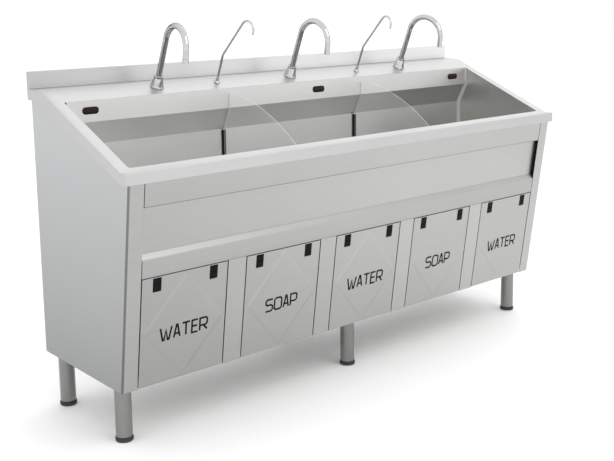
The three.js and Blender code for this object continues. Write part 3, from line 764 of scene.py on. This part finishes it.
# ---------- knee panels ----------
PANEL_HALF = 163
PANEL_LOW = 2
PANEL_HIGH = 375
PANEL_FOLD = 18
PANEL_SHEET = 1.6
WINDOW_X = (92.5, 123.5)
WINDOW_Z = (325.5, 372)
WINDOW_ROW = 2
WINDOW_COLUMNS = (1, 4)
CREASE_INSET = 12
CREASE_HALF = 7
CREASE_RISE = 1.9
CREASE_STEPS = (-1, -0.5, 0, 0.5, 1)


def crease_height(x, z, middle, reach):
    """How far the pressed diamond stands out at one place on a panel."""
    half_width, half_height = reach
    slant = math.hypot(half_width, half_height)
    inside = (half_width * half_height - abs(x) * half_height - abs(z - middle) * half_width) / slant
    t = min(1.0, max(0.0, (inside + CREASE_HALF) / (2 * CREASE_HALF)))
    return CREASE_RISE * t * t * (3 - 2 * t)


def panel_skin(bm):
    """Adds the panel's face, with its two hinge windows and with cuts along the creases, in the
    front's axes. Gives the height of the diamond's middle and its reach to either side and up."""
    xs = (-PANEL_HALF, -WINDOW_X[1], -WINDOW_X[0], 0, WINDOW_X[0], WINDOW_X[1], PANEL_HALF)
    middle = (PANEL_LOW + PANEL_HIGH) / 2
    zs = (PANEL_LOW, middle, WINDOW_Z[0], WINDOW_Z[1], PANEL_HIGH)
    points = [(x, 0, z) for z in zs for x in xs]
    faces = []
    for row in range(len(zs) - 1):
        for col in range(len(xs) - 1):
            if row == WINDOW_ROW and col in WINDOW_COLUMNS:
                continue
            a = row * len(xs) + col
            faces.append((a, a + 1, a + 1 + len(xs), a + len(xs)))
    add_faces(bm, points, faces)
    reach = (PANEL_HALF - CREASE_INSET, middle - PANEL_LOW - CREASE_INSET)
    slant = math.hypot(*reach)
    for sx in (-1, 1):
        for sz in (-1, 1):
            normal = Vector((sx * reach[1] / slant, 0, sz * reach[0] / slant))
            for step in CREASE_STEPS:
                distance = reach[0] * reach[1] / slant - step * CREASE_HALF
                point = (Vector((0, 0, middle)) + normal * distance) * MM
                geom = list(bm.verts) + list(bm.edges) + list(bm.faces)
                bmesh.ops.bisect_plane(bm, geom=geom, plane_co=point, plane_no=normal)
    return middle, reach


def knee_panel(index, x):
    """A folded sheet with a pressed diamond, and a window for each hinge."""
    bm = bmesh.new()
    middle, reach = panel_skin(bm)

    def outer(v):
        sideways = abs(v.co.x) - PANEL_HALF * MM
        upwards = (v.co.z - PANEL_LOW * MM, v.co.z - PANEL_HIGH * MM)
        return min(abs(gap) for gap in (sideways, *upwards)) < 1e-6

    rim = [edge for edge in bm.edges if edge.is_boundary and all(outer(v) for v in edge.verts)]
    for v in bm.verts:
        v.co.y = -crease_height(v.co.x / MM, v.co.z / MM, middle, reach) * MM
    made = bmesh.ops.extrude_edge_only(bm, edges=rim)
    for part in made["geom"]:
        if isinstance(part, bmesh.types.BMVert):
            part.co.y = PANEL_FOLD * MM
    bm.transform(FACE @ Matrix.Translation((x, 0, 0)))
    name = f"knee_panel_{index}"
    obj = piece(f"pressed_panel_{index}", bm, name, "brushed_steel", PANEL_STEEL, replaces=(name,))
    skin = obj.modifiers.new("skin", "SOLIDIFY")
    skin.thickness = PANEL_SHEET * MM
    skin.offset = -1.0
    skin.use_even_offset = True
    soften(obj, 0.7)
    level_faces(obj)


# ---------- lettering ----------
LETTER_HEIGHT = 50
LETTER_SPREAD = 0.93
LETTER_GAP = 8.8
STROKE = 6.6
WORD_HEIGHT = 173
INK_RISE = 0.25
INK_STEP = 0.03
INK_ROOT = 0.1
MITRE_LIMIT = 0.45
LETTERS = {
    "A": (25, [[(0, 0), (0.42, 1), (0.58, 1), (1, 0)], [(0.17, 0.3), (0.83, 0.3)]]),
    "E": (24, [[(1, 1), (0, 1), (0, 0), (1, 0)], [(0, 0.52), (0.9, 0.52)]]),
    "O": (34, [[(0.2, 0), (0.8, 0), (1, 0.14), (1, 0.86), (0.8, 1), (0.2, 1), (0, 0.86), (0, 0.14),
                (0.2, 0)]]),
    "P": (30, [[(0, 0), (0, 1), (0.8, 1), (1, 0.88), (1, 0.5), (0.8, 0.38), (0, 0.38)]]),
    "R": (31, [[(0, 0), (0, 1), (0.8, 1), (1, 0.88), (1, 0.52), (0.8, 0.4), (0, 0.4)],
               [(0.5, 0.4), (1, 0)]]),
    "S": (32, [[(1, 1), (0.2, 1), (0, 0.88), (0, 0.64), (0.2, 0.52), (0.8, 0.52), (1, 0.4), (1, 0.14),
                (0.8, 0), (0, 0)]]),
    "T": (31, [[(0, 1), (1, 1)], [(0.5, 1), (0.5, 0)]]),
    "W": (46, [[(0, 1), (0.22, 0), (0.34, 0), (0.5, 0.75), (0.66, 0), (0.78, 0), (1, 1)]]),
}
WORDS = ("WATER", "SOAP", "WATER", "SOAP", "WATER")


def ribbon(bm, line, width, y_front, y_back):
    """A flat stroke of constant width along a line of (x, z) points, with mitred corners."""
    points = [Vector(p) for p in line]
    closed = (points[0] - points[-1]).length < 1e-6
    if closed:
        points = points[:-1]
    count = len(points)
    left, right = [], []
    for i, p in enumerate(points):
        before = points[i - 1] if i or closed else None
        after = points[(i + 1) % count] if i < count - 1 or closed else None
        first = (p - before).normalized() if before is not None else (after - p).normalized()
        second = (after - p).normalized() if after is not None else first
        along = (first + second).normalized()
        across = Vector((-along.y, along.x))
        reach = width / 2 / max(MITRE_LIMIT, across.dot(Vector((-first.y, first.x))))
        left.append(p + across * reach)
        right.append(p - across * reach)
    sections = []
    for a, b in zip(left, right):
        front = [(a.x, y_front, a.y), (b.x, y_front, b.y)]
        sections.append(front + [(b.x, y_back, b.y), (a.x, y_back, a.y)])
    if closed:
        corners = [corner for section in sections for corner in section]
        faces = []
        for k in range(count):
            a, b = 4 * k, 4 * ((k + 1) % count)
            faces += [(a + i, a + (i + 1) % 4, b + (i + 1) % 4, b + i) for i in range(4)]
        add_faces(bm, corners, faces)
    else:
        add_rings(bm, sections)


def word(index, text, x):
    """One word of flat strokes on a knee panel; crossing strokes lie a little proud of each other."""
    widths = [LETTERS[letter][0] * LETTER_SPREAD for letter in text]
    at = -(sum(widths) + LETTER_GAP * (len(text) - 1)) / 2
    rise = LETTER_HEIGHT - STROKE
    bm = bmesh.new()
    for letter, width in zip(text, widths):
        for order, line in enumerate(LETTERS[letter][1]):
            shown = [(at + a * width, WORD_HEIGHT + (b - 0.5) * rise) for a, b in line]
            front = -CREASE_RISE - INK_RISE - INK_STEP * order
            ribbon(bm, shown, STROKE, front, -CREASE_RISE + INK_ROOT)
        at += width + LETTER_GAP
    bm.transform(FACE @ Matrix.Translation((x, 0, 0)))
    piece(f"panel_word_{index}", bm, f"knee_panel_{index}", "black_plastic", INK)


# ---------- hinge details, legs and feet ----------
HINGE_OFFSET = 108
HINGE_FACE = -1.4
MOVING_SCREWS = (330, 343.5)
FIXED_SCREWS = (357, 366)
SCREW_HEAD = ((1.0, 0), (3.6, 0), (3.2, 0.7), (1.6, 1.0), (1.5, 0.3), (1.0, 0.3))


def hinge_screws(index, x):
    """Screw heads on the moving and the fixed knuckle of both hinges of one panel."""
    heads = {f"knee_panel_{index}": MOVING_SCREWS, "cabinet": FIXED_SCREWS}
    for body, heights in heads.items():
        bm = bmesh.new()
        for side in (-HINGE_OFFSET, HINGE_OFFSET):
            for z in heights:
                head = bmesh.new()
                lathe(head, SCREW_HEAD, 20)
                place = Matrix.Translation(Vector((side, HINGE_FACE, z)) * MM)
                head.transform(place @ Matrix.Rotation(math.pi / 2, 4, "X"))
                take_in(bm, head)
        bm.transform(FACE @ Matrix.Translation((x, 0, 0)))
        piece(f"hinge_screws_{index}_{body}", bm, body, "black_plastic", BLACK_PLASTIC_AND_HOLE_SHADE)


def leg(place):
    """A tube with a drawn-in foot end and a flange under the cabinet."""
    node = f"leg_{place}"
    low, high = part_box(node)
    centre = ((low.x + high.x) / 2 / MM, (low.y + high.y) / 2 / MM)
    bottom, top = low.z / MM, high.z / MM
    bm = bmesh.new()
    lathe(bm, [
        (20, bottom + 30), (24.5, bottom + 30), (24.5, bottom + 1), (25.5, bottom), (26.7, bottom),
        (27.5, bottom + 0.8), (27.5, top - 9), (28.4, top - 6), (30.0, top - 4.2),
        (35.6, top - 3.4), (36, top - 3), (36, top - 0.4), (35.6, top), (20, top),
    ], 64, centre)
    piece(f"round_{node}", bm, "cabinet", "brushed_steel", LEG_STEEL, replaces=(node,))


STEM_RADIUS = 8.0
THREAD_ROOT = 7.2
THREAD_PITCH = 1.25
THREAD_CREST = 0.62
THREAD_START = 22


def foot(place):
    """A rubber foot and its threaded steel stem."""
    node = f"foot_{place}"
    low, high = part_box(node)
    centre = ((low.x + high.x) / 2 / MM, (low.y + high.y) / 2 / MM)
    top = high.z / MM
    bm = bmesh.new()
    lathe(bm, [
        (3, 0), (25.5, 0), (27.4, 0.5), (28.8, 1.8), (29.4, 3.6), (29.5, 6.0), (29.5, 12.0), (29.2, 13.4),
        (28.2, 14.8), (26.8, 15.5), (24, 15.8), (3, 15.8),
    ], 64, centre)
    piece(f"rubber_{node}", bm, node, "rubber", RUBBER, replaces=(node,))
    bm = bmesh.new()
    thread = []
    for k in range(int((top - THREAD_START) / THREAD_PITCH)):
        root = THREAD_START + THREAD_PITCH * k
        thread += [(THREAD_ROOT, root), (STEM_RADIUS, root + THREAD_CREST)]
    collar = [(1, 15.4), (15, 15.4), (15, 20), (14, 21), (THREAD_ROOT, 21)]
    lathe(bm, collar + thread + [(6.5, top), (1, top)], 32, centre)
    piece(f"stem_{node}", bm, node, "brushed_steel", LEG_STEEL)


# ---------- assembly ----------
for name, node in nodes.items():
    look = NODE_LOOKS.get(name) or NODE_LOOKS.get(name.rsplit("_", 1)[0])
    if look:
        dress(node, *look)

basin_liner()
strainer()
for index in (1, 2, 3):
    place = joints[f"faucet_spout_{index}_swivel"]["pos_m"][0]
    faucet_base(index, place)
    faucet_spout(index, place, SPOUT_REST_TURNS[index - 1])
    sensor_window(index)
for index in (1, 2):
    soap_spout(index, SOAP_PLACES[index - 1], SOAP_REST_TURNS[index - 1])
    divider(index)
for index, text in enumerate(WORDS, 1):
    place = joints[f"knee_panel_{index}_push"]["pos_m"][0]
    knee_panel(index, place)
    word(index, text, place)
    hinge_screws(index, place)
for end in ("front", "rear"):
    for side in ("left", "middle", "right"):
        leg(f"{end}_{side}")
        foot(f"{end}_{side}")


# ---------- stage ----------
FLOOR_REACH = 30000


def floor_paint():
    """Matt white paint, hardly uneven."""
    made = Surface("floor_paint")
    tone = made.spread(made.noise(1.3, 3), 0, 1)
    made.feed("Base Color", made.blend(tone, (0.91, 0.91, 0.91), (0.93, 0.93, 0.93)))
    made.feed("Roughness", made.spread(made.noise(6, 2), 0.75, 0.85))
    return made.material


def studio_floor():
    """A plain pale floor."""
    bm = bmesh.new()
    corners = [(FLOOR_REACH * x, FLOOR_REACH * y, 0) for x, y in ((-1, -1), (1, -1), (1, 1), (-1, 1))]
    add_faces(bm, corners, [(0, 1, 2, 3)])
    mesh = bpy.data.meshes.new("floor")
    bm.to_mesh(mesh)
    bm.free()
    mesh.materials.append(floor_paint())
    obj = bpy.data.objects.new("floor", mesh)
    bpy.context.scene.collection.objects.link(obj)


HORIZON_LIGHT = 1.75
TOP_LIGHT = 1.55
TOP_RANGE = (0.0, 0.5)
DIM_SIDE = (0.65, 0.76, 0)
DIM_SPREAD = (0.42, 0.62)
DIM_RANGE = (0.16, 0.36)
DIM_SHARE = 0.15
GLOW_SIDE = (0.69, 0.47, 0.55)
GLOW_SPREAD = (0.60, 1.0)
GLOW_SHARE = 1.4


def studio_world():
    """Plain white for the camera, and a soft sky for the light.

    The sky is dim low down on one side and glows a little on another. Each range is in the rise of
    the direction, or in how nearly it points to that side, and both are at most 1."""
    world = bpy.data.worlds.new("studio")
    world.use_nodes = True
    tree = world.node_tree
    tree.nodes.clear()

    def add(kind, inputs=None, **settings):
        return add_node(tree, kind, inputs or {}, settings).outputs

    def ramped(value, ends, low, high):
        inputs = {0: value, 1: ends[0], 2: ends[1], 3: low, 4: high}
        return add("ShaderNodeMapRange", inputs, interpolation_type="SMOOTHSTEP")[0]

    def times(first, second):
        return add("ShaderNodeMath", {0: first, 1: second}, operation="MULTIPLY")[0]

    aim = add("ShaderNodeTexCoord")["Generated"]

    def facing(direction):
        return add("ShaderNodeVectorMath", {0: aim, 1: direction}, operation="DOT_PRODUCT")["Value"]

    height = add("ShaderNodeSeparateXYZ", {0: aim})[2]
    toward = ramped(facing(DIM_SIDE), DIM_SPREAD, 0, 1)
    low = ramped(height, DIM_RANGE, 1, 0)
    dim = ramped(times(toward, low), (0, 1), 1, DIM_SHARE)
    bright = ramped(height, TOP_RANGE, HORIZON_LIGHT, TOP_LIGHT)
    glow = ramped(facing(GLOW_SIDE), GLOW_SPREAD, 1, GLOW_SHARE)
    sky = add("ShaderNodeBackground", {1: times(times(bright, dim), glow)})[0]
    white = add("ShaderNodeBackground", {0: (1, 1, 1, 1)})[0]
    seen = add("ShaderNodeLightPath")["Is Camera Ray"]
    add("ShaderNodeOutputWorld", {0: add("ShaderNodeMixShader", {0: seen, 1: sky, 2: white})[0]})
    bpy.context.scene.world = world


def softbox(name, place, target, size, power, tint):
    """A soft lamp that isn't seen itself."""
    data = bpy.data.lights.new(name, "AREA")
    data.shape = "RECTANGLE"
    data.size, data.size_y = size
    data.energy = power
    data.color = tint
    obj = bpy.data.objects.new(name, data)
    obj.location = place
    obj.rotation_euler = (Vector(target) - Vector(place)).to_track_quat("-Z", "Y").to_euler()
    obj.visible_camera = False
    bpy.context.scene.collection.objects.link(obj)


KEY_PLACE = (0.4, -3.0, 3.8)
KEY_TARGET = (0, 0, 0.8)
KEY_SIZE = (3.0, 2.4)
KEY_POWER = 44
KEY_TINT = (1.0, 0.995, 0.98)
FILM_WIDTH = 36
FOCAL_LENGTH = 57.342
CAMERA_PLACE = (-2.482, -2.817, 1.419)
CAMERA_YAW = math.radians(40.5)
CAMERA_PITCH = math.radians(9.3)
CAMERA_ROLL = math.radians(-0.8)
CAMERA_SHIFT = -0.12


def camera():
    """The one camera, at the object's left front and a little above it."""
    data = bpy.data.cameras.new("camera")
    data.sensor_width = FILM_WIDTH
    data.lens = FOCAL_LENGTH
    data.shift_y = CAMERA_SHIFT
    data.clip_end = 200
    ahead_axis = Vector((
        math.sin(CAMERA_YAW) * math.cos(CAMERA_PITCH),
        math.cos(CAMERA_YAW) * math.cos(CAMERA_PITCH),
        -math.sin(CAMERA_PITCH),
    ))
    level = Vector((math.cos(CAMERA_YAW), -math.sin(CAMERA_YAW), 0))
    above = level.cross(ahead_axis)
    right = level * math.cos(CAMERA_ROLL) + above * math.sin(CAMERA_ROLL)
    up = above * math.cos(CAMERA_ROLL) - level * math.sin(CAMERA_ROLL)
    axes = Matrix((right, up, -ahead_axis)).transposed().to_4x4()
    obj = bpy.data.objects.new("camera", data)
    obj.matrix_world = Matrix.Translation(CAMERA_PLACE) @ axes
    bpy.context.scene.collection.objects.link(obj)
    bpy.context.scene.camera = obj


studio_floor()
studio_world()
softbox("key", KEY_PLACE, KEY_TARGET, KEY_SIZE, KEY_POWER, KEY_TINT)
camera()
bpy.context.scene.view_settings.view_transform = "Standard"
